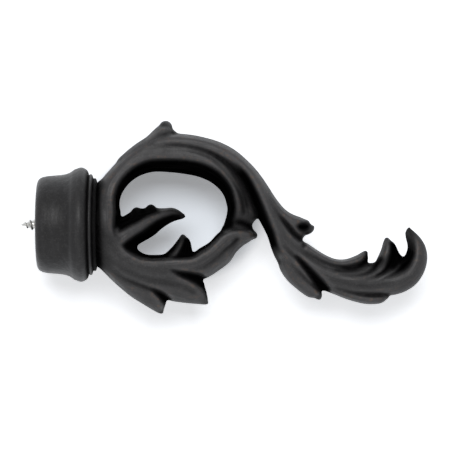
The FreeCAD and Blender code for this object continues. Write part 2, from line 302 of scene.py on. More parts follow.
last_lobe = Leaf([
    ((66.0, -29.0), (63.0, -32.0), 6, 0.5, 2, 2),
    ((72.6, -31.8), (70.6, -35.5), 7.2, 0.5, 1.9, 2.1),
    ((79.4, -34.2), (77.9, -38.4), 7.2, 0.48, 1.8, 2.1),
    ((86.0, -35.6), (85.4, -40.3), 6.6, 0.46, 1.7, 2.1),
    ((91.0, -36.0), (91.2, -40.3), 5.6, 0.46, 1.7, 2.1),
    ((94.1, -36.0), (93.9, -39.4), 4.2, 0.5, 1.8, 2),
    ((95.4, -36.4), (95.2, -38.0), 1.8, 0.5, 1.8, 1.8)], blend=0.6)
LEAVES = [inner_strand, outer_strand, long_leaf, lower_leaf, back_leaf, sprig, sprig_root, first_bud,
          second_bud, thorn, top_knob, tail_knob, tail_leaf, first_tip, second_tip, last_lobe]

# Lines cut into both faces: points from the ring's middle, depths at the start, middle and end,
# the widths on the left and right of the line, how they grow along it, and how square it is.
# A negative depth raises a ridge.
GROOVES = [
    ([(13.5, 29.5), (18.4, 27.2), (23.3, 23.7), (26.9, 19.9), (30.0, 14.9)],
     (-0.2, -1.2, -0.2), (1.3, 1.3), 1, 2),
    ([(-4.8, 29.9), (0.5, 30.2), (6.3, 29.9), (11.7, 28.8), (17.1, 27.0), (21.5, 24.3),
      (25.1, 21.0), (28.7, 16.3), (32.3, 10.9), (35.0, 5.6), (36.7, 0.6)],
     (0.2, 0.5, 1.7), (0.4, 0.45), 1.5, 2),
    ([(-3.5, 27.5), (2.8, 27.9), (8.1, 27.5), (13.0, 26.1), (17.5, 23.9), (21.5, 20.3),
      (24.7, 16.7), (27.4, 12.7), (29.6, 8.7), (30.9, 4.2), (31.4, -0.3)],
     (0.3, 0.8, 1.4), (0.35, 0.45), 1.3, 2),
    ([(9.9, 31.3), (14.8, 29.5), (19.3, 27.0), (23.3, 23.9), (26.9, 19.9), (30.5, 14.9),
      (33.6, 9.6), (35.8, 4.7)],
     (0.05, 0.4, 1.4), (0.35, 0.35), 1.4, 2),
    ([(19.7, 25.2), (24.7, 20.8), (28.2, 14.9), (30.9, 8.2), (32.7, 0.6)],
     (0.1, 0.5, 0.8), (1.8, 1.6), 1, 2),
    ([(14.4, 27.7), (18.0, 25.7), (21.5, 22.8), (25.1, 18.7), (28.7, 13.6), (31.4, 8.2),
      (33.2, 2.9)],
     (0.1, 0.5, 0.9), (0.35, 0.35), 1.2, 2),
    ([(-6.2, 32.4), (-0.8, 33.1), (5.4, 32.6), (11.7, 31.0), (18.0, 28.6), (23.3, 25.2),
      (27.8, 20.8), (32.3, 14.5)],
     (0.1, 0.35, 0.1), (0.5, 0.5), 1, 2),
    ([(-21.4, 24.3), (-16.0, 28.6), (-10.7, 31.9), (-6.2, 34.4), (-2.6, 35.7), (0.5, 35.7)],
     (0.1, 0.5, 1.3), (0.8, 0.5), 1, 2),
    ([(-1.3, 41.3), (-1.5, 39.1), (-1.3, 36.9), (0.1, 35.5)],
     (0.4, 0.9, 1.0), (0.5, 0.5), 1, 2),
    ([(1.9, -25.8), (7.2, -25.3), (11.7, -24.4), (16.2, -22.0), (20.2, -18.8), (23.3, -15.9),
      (26.0, -13.7), (28.2, -11.4)],
     (0.2, 1.0, 1.8), (0.9, 1.2), 1, 2),
    ([(-0.8, -25.3), (3.2, -26.9), (7.2, -28.0), (10.8, -29.3), (13.9, -31.3)],
     (0.8, 5.0, 9.0), (0.7, 0.7), 3.6, 4),
    ([(-9.8, -33.6), (-7.1, -35.1), (-4.8, -36.7), (-2.6, -38.5)],
     (1.4, 4.0, 6.5), (0.5, 0.6), 2.8, 4),
    ([(-23.2, -24.4), (-16.0, -27.8), (-8.9, -30.0), (-1.7, -31.1), (4.5, -32.5), (9.0, -34.7)],
     (0.2, 0.9, 0.6), (1.3, 1.3), 1, 2),
    ([(-30.8, -22.2), (-27.2, -25.8), (-22.3, -29.3), (-16.0, -32.0), (-11.1, -33.8)],
     (0.6, 0.7, 0.5), (1.1, 1.1), 1, 2),
    ([(49.3, -14.6), (52.8, -18.1), (56.4, -21.3), (59.6, -24.4)],
     (0.3, 1.2, 1.8), (0.5, 0.7), 1, 2),
    ([(54.6, -19.0), (57.8, -22.6), (61.3, -26.6), (64.5, -30.4), (67.6, -34.2)],
     (1.2, 5.0, 9.0), (0.7, 0.8), 2.8, 4),
    ([(47.9, -1.6), (50.6, -5.2), (53.3, -8.8), (56.0, -11.4)],
     (0.6, 2.4, 2.6), (0.6, 0.9), 1, 2),
    ([(57.3, -14.1), (60.9, -17.3), (65.4, -20.6), (71.2, -22.8), (77.0, -23.5), (82.4, -22.2)],
     (0.3, 1.0, 1.2), (0.5, 0.5), 1, 2),
    ([(71.6, -24.9), (77.0, -25.3), (81.5, -24.2), (85.0, -21.7), (86.8, -19.0)],
     (0.6, 2.2, 5.0), (0.6, 0.8), 2.0, 2),
    ([(74.3, -27.1), (80.6, -27.5), (85.9, -26.4), (89.5, -24.0), (92.2, -20.4)],
     (0.3, 1.6, 2.6), (0.5, 0.7), 1.5, 2),
    ([(79.7, -26.2), (84.1, -25.3), (88.2, -22.6)],
     (0.3, 1.2, 1.6), (0.4, 0.4), 1, 2),
    ([(85.9, -29.6), (90.4, -28.0), (94.4, -25.5), (97.1, -22.6)],
     (0.6, 2.0, 3.0), (0.4, 0.5), 1.4, 2),
    ([(88.6, -30.2), (94.0, -28.7), (98.9, -26.2), (102.5, -23.1)],
     (0.4, 1.8, 2.6), (0.4, 0.5), 1.4, 2),
    ([(85.9, -29.8), (90.4, -27.5), (94.0, -24.4), (95.8, -20.4)],
     (-0.3, -1.0, -1.6), (0.35, 0.35), 1, 2),
    ([(88.6, -30.4), (94.0, -28.4), (98.5, -25.5), (101.6, -22.0)],
     (-0.3, -1.6, -2.8), (0.35, 0.35), 1, 2),
    ([(91.3, -31.1), (97.6, -29.1), (102.9, -25.8), (106.1, -21.3)],
     (-0.3, -0.9, -1.2), (0.35, 0.35), 1, 2),
    ([(82.4, -31.6), (89.5, -31.8), (96.2, -29.8), (101.6, -26.4), (105.6, -21.7),
      (107.0, -16.4), (106.5, -11.0), (105.2, -7.9)],
     (0.3, 0.9, 1.8), (0.6, 0.6), 1.6, 2),
    ([(69.8, -29.8), (77.0, -31.1), (83.3, -32.5), (90.4, -32.9), (97.6, -31.6)],
     (0.2, 0.6, 0.2), (0.8, 0.8), 1, 2),
    ([(72.5, -33.8), (77.9, -35.4), (84.1, -36.5), (90.4, -36.7), (95.8, -35.4)],
     (0.3, 0.6, 0.9), (0.5, 0.5), 1.3, 2),
    ([(56.4, -16.4), (61.8, -20.4), (68.0, -24.0), (74.3, -25.8)],
     (0.1, 0.6, 0.4), (0.5, 0.5), 1, 2),
    ([(23.3, -5.4), (26.9, -4.5), (30.0, -4.5), (33.2, -6.1), (35.8, -8.5)],
     (1.0, 3.0, 3.4), (1.6, 0.5), 1, 2)]

# Hollows: the middle from the ring's middle, half sizes along X and Z, how far the face sinks, and
# how square the hollow is.
HOLLOWS = [
    ((99.4, -21.7), (5.2, 4.6), 3.2, 2.6),
    ((102.9, -20.4), (2.2, 4.0), 2.0, 2.2),
    ((89.5, -22.8), (4.2, 2.0), 1.3, 2.0),
    ((57.9, -6.0), (2.7, 1.7), 4.4, 4.0),
    ((58.2, -8.3), (2.4, 2.2), 1.3, 2.0),
    ((-4.2, 39.3), (1.5, 1.2), 1.2, 2.0),
    ((32.3, 4.7), (3.0, 7.0), 0.5, 2.0)]


def ramp(values, start, full):
    """Zero up to the start and one from the full value on, with a straight rise between."""
    return np.clip((values - start) / (full - start), 0, 1)


def section_maps(leaf, gx, gz):
    """For each grid point: distance across from the ridge, the half width there, the half depth, the
    power, the ridge's flat, and how far along the leaf it is, as a share and in millimetres."""
    # each section has a ridge point c, a direction e across and a direction n along the leaf
    c = leaf.first + (leaf.second - leaf.first) * leaf.ridge[:, None]
    across = leaf.second - leaf.first
    width = np.linalg.norm(across, axis=1)
    e = across / width[:, None]
    n = np.c_[-e[:, 1], e[:, 0]]
    along = np.gradient(c, axis=0)
    n *= np.sign((n * along).sum(1))[:, None]
    to_first = width * leaf.ridge
    to_second = width * (1 - leaf.ridge)
    px, pz = gx.ravel(), gz.ravel()
    # the nearest section of each point, where a section past its own edge counts as further off
    best = np.full(px.shape, np.inf)
    index = np.zeros(px.shape, int)
    for i in range(len(c)):
        dx, dz = px - c[i, 0], pz - c[i, 1]
        a = dx * e[i, 0] + dz * e[i, 1]
        d = np.abs(dx * n[i, 0] + dz * n[i, 1])
        over = np.maximum(a - to_second[i], -a - to_first[i])
        cost = d + 0.6 * np.maximum(over - 1.0, 0)
        better = cost < best
        best[better] = cost[better]
        index[better] = i
    # the place between two sections
    dx, dz = px - c[index, 0], pz - c[index, 1]
    d = dx * n[index, 0] + dz * n[index, 1]
    step = np.linalg.norm(along, axis=1)[index] + 1e-9
    fine = np.clip(index + np.clip(d / step, -0.5, 0.5), 0, len(c) - 1)
    base = np.minimum(fine.astype(int), len(c) - 2)
    f = fine - base

    def mix(values):
        share_of = f.reshape((-1,) + (1,) * (values.ndim - 1))
        return values[base] * (1 - share_of) + values[base + 1] * share_of

    cm = mix(c)
    em = mix(e)
    em /= np.linalg.norm(em, axis=1)[:, None]
    dx, dz = px - cm[:, 0], pz - cm[:, 1]
    a = dx * em[:, 0] + dz * em[:, 1]
    d = -dx * em[:, 1] + dz * em[:, 0]
    # past the ends the leaf is rounded off
    a = np.where(np.abs(d) > 0.05, np.sign(a + 1e-9) * np.hypot(a, d), a)
    half = np.where(a < 0, mix(to_first), mix(to_second)) + EDGE
    power = np.where(a < 0, mix(leaf.powers[:, 0]), mix(leaf.powers[:, 1]))
    shape = gx.shape
    share = fine / (len(c) - 1)
    crest = leaf.crest[0] + (leaf.crest[1] - leaf.crest[0]) * share
    far = np.cumsum(np.linalg.norm(along, axis=1))
    return [v.reshape(shape) for v in (a, half, mix(leaf.deep), power, crest, share, mix(far))]


def leaf_field(leaf, xs, zs, ys, sunk):
    """A distance-like field of one leaf on a box of the grid, its flat maps, and where the box lies.

    The flat maps are its rank over other leaves, the height of its face, how much painted shade it
    has, and the places across and along it.
    """
    pad = 5.0
    both = np.vstack([leaf.first, leaf.second])
    i0, i1 = np.searchsorted(xs, [both[:, 0].min() - pad, both[:, 0].max() + pad])
    k0, k1 = np.searchsorted(zs, [both[:, 1].min() - pad, both[:, 1].max() + pad])
    gx, gz = np.meshgrid(xs[i0:i1], zs[k0:k1], indexing="ij")
    maps = [v[:, None, :] for v in section_maps(leaf, gx, gz)]
    across, half, deep, power, crest, share, far = maps
    a = np.maximum(np.abs(across) - crest, 0)
    half = np.maximum(half - crest, 0.3)
    # the share of the way from the ridge to the edge, a little rounded at the ridge
    soft = 0.006
    q = (np.sqrt((a / half) ** 2 + soft) - soft ** 0.5) / ((1 + soft) ** 0.5 - soft ** 0.5)
    q = np.maximum(q, 1e-4)
    height = deep * np.maximum(1 - q ** power, 0) ** (1 / power)
    # a groove leaves part of the depth, however deep it is
    room = GROOVE_SHARE * height + 1e-3
    sunk = sunk[i0:i1, None, k0:k1]
    carved = room * (1 - np.exp(-np.maximum(sunk, 0) / room)) + np.minimum(sunk, 0)
    v = np.maximum((ys[None, :, None] + carved) / deep, 1e-4)
    # one on the surface, less inside and more outside, and then as a distance by its slope
    rho = np.maximum((q ** power + v ** power) ** (1 / power), 0.15)
    slope = rho ** (1 - power) * np.hypot(q ** (power - 1) / half, v ** (power - 1) / deep)
    field = (rho - 1) / np.maximum(slope, 1e-3)
    # the side of a sharp ridge is a wall, painted in shade, and the leaf's own painted shade along it is
    # added
    painted_darkness = ramp(q, 0.02, 0.14) * ramp(power, 1.40, 1.25)
    painted_darkness = np.maximum(painted_darkness, np.interp(share, (0, 0.6, 1), leaf.shade))
    rank = np.where(q < 1, height, (1 - q) * half)
    lane = half.max() * np.clip(across / half, -0.85, 0.85)
    flat = np.stack([rank, height - carved, painted_darkness, lane, far], 0)[:, :, 0]
    return np.clip(field, -FAR, FAR).astype(np.float32), flat, (slice(i0, i1), slice(k0, k1))


def smooth_min(a, b, k):
    """The lesser of two fields, rounded where they meet over a width k."""
    h = np.maximum(k - np.abs(a - b), 0) / k
    return np.minimum(a, b) - h * h * k * 0.25


def sunk_faces(xs, zs):
    """How far the grooves and hollows sink the front and back faces, on the XZ grid."""
    gx, gz = np.meshgrid(xs - RING_X, zs - RING_Z, indexing="ij")
    sunk = np.zeros(gx.shape)
    for points, depths, (left, right), grow, power in GROOVES:
        line = smooth_rows(points, 12)
        best = np.full(gx.shape, np.inf)
        share = np.zeros(gx.shape)
        side = np.zeros(gx.shape)
        for i in range(len(line) - 1):
            p, s = line[i], line[i + 1] - line[i]
            t = np.clip(((gx - p[0]) * s[0] + (gz - p[1]) * s[1]) / (s @ s), 0, 1)
            dist2 = (gx - p[0] - t * s[0]) ** 2 + (gz - p[1] - t * s[1]) ** 2
            nearer = dist2 < best
            best = np.where(nearer, dist2, best)
            share = np.where(nearer, (i + t) / (len(line) - 1), share)
            side = np.where(nearer, s[0] * (gz - p[1]) - s[1] * (gx - p[0]), side)
        width = np.where(side > 0, left, right) * (1 + (grow - 1) * share)
        deep = np.interp(share, (0, 0.5, 1), depths)
        sunk += deep * np.exp(-(best / width ** 2) ** (power / 2))
    for (cx, cz), (rx, rz), deep, power in HOLLOWS:
        r2 = ((gx - cx) / rx) ** 2 + ((gz - cz) / rz) ** 2
        sunk += deep * np.exp(-r2 ** (power / 2))
    return sunk


def neck_foot(gx, gy, gz):
    """The field of the round foot that springs from the collar's neck."""
    rounding = 3.0
    half_length = 4.4
    middle = NECK_X + 2.6
    radius = NECK_RADIUS + 0.5
    out = np.hypot(gy, gz) - radius + rounding
    side = np.abs(gx - middle) - half_length + rounding
    corner = np.hypot(np.maximum(out, 0), np.maximum(side, 0))
    return (np.minimum(np.maximum(out, side), 0) + corner - rounding).astype(np.float32)


def scroll_field():
    """The whole scroll as one distance-like field on half the grid, Y from 0 up, and its paint maps.

    The paint maps lie on the XZ grid: the painted shade in recesses, on walls and at the outline, the
    painted highlight on crests, and the places across and along the leaf that shows.
    """
    xs = np.arange(LOW[0], HIGH[0], PITCH)
    zs = np.arange(LOW[1], HIGH[1], PITCH)
    ys = np.arange(0, HALF_DEEP, PITCH)
    sunk = sunk_faces(xs, zs)
    total = np.full((len(xs), len(ys), len(zs)), FAR, np.float32)
    total = np.minimum(total, neck_foot(*np.meshgrid(xs, ys, zs, indexing="ij", sparse=True)))
    rank = np.full(sunk.shape, -99.0)
    face, painted_recess_shade, across, far = np.zeros((4,) + sunk.shape)
    shown_maps = (rank, painted_recess_shade, across, far)
    for number, leaf in enumerate(LEAVES):
        field, flat, (i, k) = leaf_field(leaf, xs, zs, ys, sunk)
        flat[4] += REED_SHIFT * number
        shown = flat[0] > rank[i, k]
        for grid, values in zip(shown_maps, flat[[0, 2, 3, 4]]):
            grid[i, k] = np.where(shown, values, grid[i, k])
        face[i, k] = np.maximum(face[i, k], flat[1])
        total[i, :, k] = smooth_min(total[i, :, k], field, leaf.blend)
    # crests stand above the smoothed face and cavities lie under it
    inside = (rank > 0).astype(float)
    rounds = round(2 * (RELIEF_WIDTH / PITCH) ** 2)
    cover = blur(inside, rounds)
    smoothed = blur(face * inside, rounds) / np.maximum(cover, 1e-3)
    # the relief fades out at the outline, where the face turns into the wall
    within = ramp(cover, 0.58, 0.92)
    relief = (face - smoothed) * within
    # a painted highlight where a crest stands off the smoothed face
    crest = blur(ramp(relief, 0, PAINTED_HIGHLIGHT_HEIGHT))
    # painted shade in grooves and hollows by their depth, in cavities, and at the outline
    painted_recess_shade = np.maximum(painted_recess_shade, ramp(sunk, 0, PAINTED_SHADE_DEPTH) ** 1.3)
    painted_recess_shade = np.maximum(painted_recess_shade, PAINTED_CAVITY_SHADE * ramp(-relief, 0.05, 0.55))
    painted_recess_shade = np.maximum(painted_recess_shade, PAINTED_OUTLINE_SHADE * (1 - within))
    # painted shade darkens the foot towards the neck, further out on its lower side
    reach = np.interp(zs, (-16.0, -4.0, 6.0), (6.8, 6.0, 4.4))
    from_neck = (xs[:, None] - NECK_X) / reach[None, :]
    neck = np.interp(from_neck, (0.0, 0.2, 0.42, 1.0), (1.0, 0.95, 0.45, 0.0))
    painted_recess_shade = blur(np.maximum(painted_recess_shade, neck))
    return total, (painted_recess_shade, crest * (1 - painted_recess_shade), across, far), xs, ys, zs


def blur(field, rounds=1):
    """A light three-point blur along each axis, to take the grid's steps off."""
    for _ in range(rounds):
        for axis in range(field.ndim):
            field = (np.roll(field, 1, axis) + 2 * field + np.roll(field, -1, axis)) / 4
    return field


def net(field, origin, pitch):
    """A closed quad mesh over the field's zero level, one vertex in each crossed cell."""
    inside = field < 0
    shape = tuple(n - 1 for n in field.shape)
    corners = list(np.ndindex(2, 2, 2))

    def cut(values, corner):
        return values[tuple(slice(c, c + size) for c, size in zip(corner, shape))]

    # a cell has a vertex where some of its corners lie inside, but not all
    count = sum(cut(inside, c).astype(np.int8) for c in corners)
    active = (count > 0) & (count < 8)
    cells = np.argwhere(active)
    number = np.full(shape, -1, np.int64)
    number[active] = np.arange(len(cells))
    total = np.zeros((len(cells), 3))
    hits = np.zeros(len(cells))
    # the vertex lies at the mean of the places where the cell's edges cross the surface
    for a in corners:
        for axis in range(3):
            if a[axis]:
                continue
            b = tuple(1 if i == axis else v for i, v in enumerate(a))
            fa = cut(field, a)[active]
            fb = cut(field, b)[active]
            cross = (fa < 0) != (fb < 0)
            t = np.where(cross, fa / np.where(cross, fa - fb, 1), 0)
            p = np.array(a, float)[None, :].repeat(len(cells), 0)
            p[:, axis] = t
            total[cross] += p[cross]
            hits += cross
    points = (cells + total / hits[:, None]) * pitch + origin
    # four cells meet at each grid edge that crosses the surface, and their vertices make a quad
    faces = []
    for axis in range(3):
        u, v = [(1, 2), (2, 0), (0, 1)][axis]
        size = list(field.shape)
        near = [slice(None)] * 3
        far = [slice(None)] * 3
        near[axis] = slice(0, size[axis] - 1)
        far[axis] = slice(1, size[axis])
        one, two = inside[tuple(near)], inside[tuple(far)]
        where = np.argwhere(one != two)
        where = where[(where[:, u] > 0) & (where[:, v] > 0)
                      & (where[:, u] < size[u] - 1) & (where[:, v] < size[v] - 1)]
        ring_cells = []
        for du, dv in ((-1, -1), (0, -1), (0, 0), (-1, 0)):
            c = where.copy()
            c[:, u] += du
            c[:, v] += dv
            ring_cells.append(number[c[:, 0], c[:, 1], c[:, 2]])
        quad = np.stack(ring_cells, 1)
        back = ~one[where[:, 0], where[:, 1], where[:, 2]]
        quad[back] = quad[back][:, ::-1]
        faces.append(quad)
    return points, np.vstack(faces)


def sample(field, grid_points):
    """Field values between grid points."""
    base = np.clip(grid_points.astype(int), 0, np.array(field.shape) - 2)
    f = grid_points - base
    value = 0
    for corner in np.ndindex(*(2,) * field.ndim):
        weight = np.prod(np.abs(1 - np.array(corner) - f), axis=1)
        value = value + weight * field[tuple((base + corner).T)]
    return value


def mesh_object(name, points, faces, smooth=True):
    """A mesh in the scene, from points in metres and faces."""
    mesh = bpy.data.meshes.new(name)
    mesh.from_pydata([tuple(p) for p in points], [], [tuple(int(i) for i in f) for f in faces])
    mesh.update()
    mesh.polygons.foreach_set("use_smooth", [smooth] * len(mesh.polygons))
    obj = bpy.data.objects.new(name, mesh)
    bpy.context.scene.collection.objects.link(obj)
    return obj


def scroll_mesh():
    """Points in millimetres, quads, and painted shade, painted highlight and reeding values of the scroll.
    """
    half, grids, xs, ys, zs = scroll_field()
    whole = blur(np.concatenate([half[:, :0:-1, :], half], axis=1))
    origin = np.array([xs[0], -ys[-1], zs[0]])
    points, faces = net(whole, origin, PITCH)
    gradient = np.gradient(whole)
    # each point moves on to the surface in a few short steps
    for _ in range(3):
        g = (points - origin) / PITCH
        value = sample(whole, g)
        slope = np.stack([sample(d, g) for d in gradient], 1)
        length2 = np.maximum((slope ** 2).sum(1), 1e-4)
        step = value[:, None] * slope / length2[:, None]
        points = points - np.clip(step, -0.35, 0.35) * PITCH
    g = (points[:, [0, 2]] - [xs[0], zs[0]]) / PITCH
    return points, faces, [sample(grid, g) for grid in grids]


def lathe(profile, steps):
    """Points and quads of a closed profile of (x, radius) turned about the X axis."""
    profile = np.asarray(profile, float)
    angle = np.arange(steps) * 2 * math.pi / steps
    points = np.stack([np.repeat(profile[:, 0], steps),
                       (profile[:, 1][:, None] * np.cos(angle)).ravel(),
                       (profile[:, 1][:, None] * np.sin(angle)).ravel()], 1)
    faces = []
    for i in range(len(profile) - 1):
        for j in range(steps):
            k = (j + 1) % steps
            faces.append((i * steps + j, i * steps + k, (i + 1) * steps + k, (i + 1) * steps + j))
    return points, faces


def collar_mesh(steps=144):
    """Points, faces, painted shade, painted highlight and reeding values of the collar: its bead, fine
    rings, neck, bore and floor.

    The outside and the inside are rows of a place along X and a radius.
    """
    outside = [(0.0, RIM_RADIUS - 3.0), (0.25, RIM_RADIUS - 2.3), (0.7, RIM_RADIUS - 1.6),
               (1.4, RIM_RADIUS - 1.05), (2.4, RIM_RADIUS - 0.6), (4.6, RIM_RADIUS - 0.15),
               (8.0, RIM_RADIUS + 0.1), (10.4, RIM_RADIUS + 0.3), (12.6, RIM_RADIUS + 0.65),
               (14.4, RIM_RADIUS + 1.3), (15.6, RIM_RADIUS + 2.1), (16.6, RIM_RADIUS + 2.85),
               (17.5, BEAD_RADIUS - 0.6), (18.4, BEAD_RADIUS - 0.2), (BEAD_X, BEAD_RADIUS),
               (20.2, BEAD_RADIUS - 0.1), (21.1, BEAD_RADIUS - 0.45), (21.9, BEAD_RADIUS - 1.0),
               (22.5, BEAD_RADIUS - 1.8), (22.85, BEAD_RADIUS - 3.0), (23.1, BEAD_RADIUS - 3.5),
               (23.4, BEAD_RADIUS - 3.2), (23.9, BEAD_RADIUS - 2.95), (24.4, BEAD_RADIUS - 3.3),
               (24.7, BEAD_RADIUS - 4.3), (24.95, BEAD_RADIUS - 4.9), (25.3, BEAD_RADIUS - 4.9),
               (25.8, BEAD_RADIUS - 4.8), (26.2, BEAD_RADIUS - 5.2), (26.5, BEAD_RADIUS - 6.2),
               (26.8, NECK_RADIUS - 0.2), (27.6, NECK_RADIUS - 0.3), (29.0, NECK_RADIUS - 0.6),
               (30.0, NECK_RADIUS - 3.0), (30.4, 0.02)]
    inside = [(SOCKET_DEPTH, 0.02), (SOCKET_DEPTH, BORE_RADIUS - 0.6),
              (SOCKET_DEPTH - 0.25, BORE_RADIUS - 0.15), (SOCKET_DEPTH - 0.9, BORE_RADIUS),
              (0.7, BORE_RADIUS), (0.3, BORE_RADIUS + 0.15), (0.02, BORE_RADIUS + 0.6),
              (0.0, RIM_RADIUS - 3.0)]
    points, faces = lathe(outside, steps)
    more, more_faces = lathe(inside, steps)
    base = len(points)
    points = np.vstack([points, more])
    x, y, z = points.T
    outer = np.arange(len(points)) < base
    # painted shade in the grooves along X, painted highlight on the rim, the bead and the ring's edges, and
    # painted shade all over the bore
    painted_darkness = ((0.0, 0.0), (3.0, 0.2), (21.6, 0.2), (22.3, 0.7), (22.8, 1.0), (23.3, 0.8), (24.0, 0.1),
            (24.5, 0.4), (24.9, 1.0), (25.6, 0.8), (26.4, 0.7), (27.0, 1.0))
    painted_highlight_along_x = ((0.3, 0.5), (1.2, 0.3), (3.0, 0.0), (14.6, 0.0), (15.8, 0.55), (16.9, 0.1), (18.6, 0.3),
            (20.4, 0.0), (23.5, 0.0), (24.2, 0.6), (24.6, 0.0))
    painted_recess_shade = np.where(outer, np.interp(x, *zip(*painted_darkness)), PAINTED_BORE_SHADE)
    crest = np.where(outer, np.interp(x, *zip(*painted_highlight_along_x)), 0.0)
    faces = faces + [tuple(i + base for i in f) for f in more_faces]
    # the reeding runs round the collar
    return points, faces, [painted_recess_shade, crest, 0.4 * x, 8 * np.arctan2(z, np.abs(y))]


def screw_mesh(pitch=2.2, steps=36):
    """Points and quads of the dowel screw, with a coarse thread that fades into its point."""
    thread_depth = 0.8
    thread_run_in = 2.4
    half_tooth = 0.26
    point_length = 4.4
    tip_radius = 0.02
    xs = np.arange(0, SCREW_LENGTH + 0.01, pitch / 14)
    angle = np.arange(steps) * 2 * math.pi / steps
    taper = np.clip(xs / point_length, 0.02, 1) ** 0.8
    crest = SCREW_RADIUS * taper
    root = np.maximum(crest - thread_depth * np.clip(xs / thread_run_in, 0.15, 1), tip_radius)
    turn = (xs[:, None] / pitch - angle[None, :] / (2 * math.pi)) % 1.0
    tooth = np.clip(1 - np.abs(turn - 0.5) / half_tooth, 0, 1) ** 0.9
    radius = root[:, None] + (crest - root)[:, None] * tooth
    radius[[0, -1]] = tip_radius
    points = np.stack([np.repeat(xs + SCREW_TIP, steps).reshape(radius.shape),
                       radius * np.cos(angle), radius * np.sin(angle)], 2).reshape(-1, 3)
    faces = []
    for i in range(len(xs) - 1):
        for j in range(steps):
            k = (j + 1) % steps
            faces.append((i * steps + j, (i + 1) * steps + j, (i + 1) * steps + k, i * steps + k))
    return points, faces


def wire(node, inputs):
    """Gives each named or numbered input of a node its value, or a link from another node's output."""
    for key, value in inputs.items():
        if isinstance(value, bpy.types.NodeSocket):
            node.id_data.links.new(value, node.inputs[key])
        else:
            node.inputs[key].default_value = value


def add(tree, kind, inputs=None, **settings):
    """A new shader node with its settings and inputs."""
    node = tree.nodes.new("ShaderNode" + kind)
    for key, value in settings.items():
        setattr(node, key, value)
    wire(node, inputs or {})
    return node


def noise(tree, scale, detail, place):
    """A noise value at each place."""
    return add(tree, "TexNoise", {"Scale": scale, "Detail": detail, "Vector": place}).outputs["Fac"]


def spread(tree, source, low, high, to_low, to_high):
    """The source's range from low to high, spread over another range."""
    return add(tree, "MapRange", {"Value": source, "From Min": low, "From Max": high,
                                  "To Min": to_low, "To Max": to_high}).outputs["Result"]


def blend(tree, factor, one, two):
    """The first colour at a factor of zero, and the second at one."""
    return add(tree, "Mix", {"Factor": factor, "A": one, "B": two}, data_type="RGBA").outputs["Result"]


def math_of(tree, operation, one, two):
    """One value from two."""
    return add(tree, "Math", {0: one, 1: two}, operation=operation).outputs["Value"]


def attribute(tree, name, output="Fac"):
    """What the mesh holds under a name, at each of its points."""
    return add(tree, "Attribute", attribute_name=name).outputs[output]


def new_material(name):
    """A material and its node tree."""
    mat = bpy.data.materials.new(name)
    mat.use_nodes = True
    return mat, mat.node_tree


def satin_black():
    """Satin black paint, with painted highlights on the raised edges and painted shade, matte and near
    black, in the recesses.
    """
    mat, tree = new_material("satin_black")
    place = add(tree, "TexCoord").outputs["Object"]
    mottle = noise(tree, 150.0, 6.0, place)
    fleck = noise(tree, 1300.0, 2.0, place)
    speck = noise(tree, 480.0, 3.0, place)
    grain = noise(tree, 850.0, 4.0, place)
    # the reeding of the cast leaves runs along them
    flow = add(tree, "VectorMath", {0: attribute(tree, "flow", "Vector"), 1: (1.05, 0.055, 0.45)},
               operation="MULTIPLY").outputs["Vector"]
    reeds = noise(tree, 1.0, 3.0, flow)
    painted_recess_shade = attribute(tree, "painted_recess_shade")
    # the crest value is the painted highlight
    crest = attribute(tree, "crest")
    tone = blend(tree, spread(tree, mottle, 0.32, 0.68, 0, 1), (0.0165, 0.0160, 0.0166, 1),
                 (0.0280, 0.0270, 0.0272, 1))
    # each layer of paint, the last a painted highlight on the crests: what places it, where it starts and
    # is full, its strength, and its colour
    for source, start, full, strength, colour in (
            (reeds, 0.56, 0.40, 0.55, (0.0085, 0.0080, 0.0080, 1)),
            (reeds, 0.52, 0.68, 0.50, (0.0460, 0.0450, 0.0470, 1)),
            (fleck, 0.54, 0.36, 0.60, (0.0100, 0.0095, 0.0100, 1)),
            (fleck, 0.52, 0.68, 0.50, (0.0500, 0.0480, 0.0490, 1)),
            (speck, 0.55, 0.40, 0.65, (0.0090, 0.0086, 0.0090, 1)),
            (crest, 0.00, 1.00, 0.85, (0.0820, 0.0800, 0.0820, 1))):
        tone = blend(tree, spread(tree, source, start, full, 0, strength), tone, colour)
    # brown specks of wear on the highest edges, laid over the painted highlight there and lighter than it
    wear_and_highlight_specks = math_of(tree, "MULTIPLY", spread(tree, crest, 0.35, 1.0, 0, 1),
                     spread(tree, speck, 0.53, 0.68, 0, 1))
    tone = blend(tree, wear_and_highlight_specks, tone, (0.120, 0.088, 0.070, 1))
    # the near-black colour of the painted shade in recesses and on walls
    deep = blend(tree, spread(tree, reeds, 0.40, 0.66, 0, 1), (0.0006, 0.0006, 0.0007, 1),
                 (0.0050, 0.0048, 0.0050, 1))
    rough = math_of(tree, "MAXIMUM", spread(tree, mottle, 0.3, 0.7, 0.36, 0.50),
                    spread(tree, painted_recess_shade, 0.0, 1.0, 0.30, 0.90))
    fine = add(tree, "Bump", {"Strength": 0.32, "Distance": 0.0003, "Height": grain})
    reeded = add(tree, "Bump", {"Strength": 0.35, "Distance": 0.0006, "Height": reeds,
                                "Normal": fine.outputs["Normal"]})
    shader = tree.nodes["Principled BSDF"]
    # the plain specular level serves where a linked one isn't read
    shader.inputs["Specular IOR Level"].default_value = 0.3
    # the painted shade turns the colour near black, the paint matte and the specular level to nothing, so
    # the recesses show no reflection
    wire(shader, {"Base Color": blend(tree, painted_recess_shade, tone, deep), "Roughness": rough,
                  "Specular IOR Level": spread(tree, painted_recess_shade, 0.0, 1.0, 0.34, 0.0),
                  "Normal": reeded.outputs["Normal"]})
    return mat


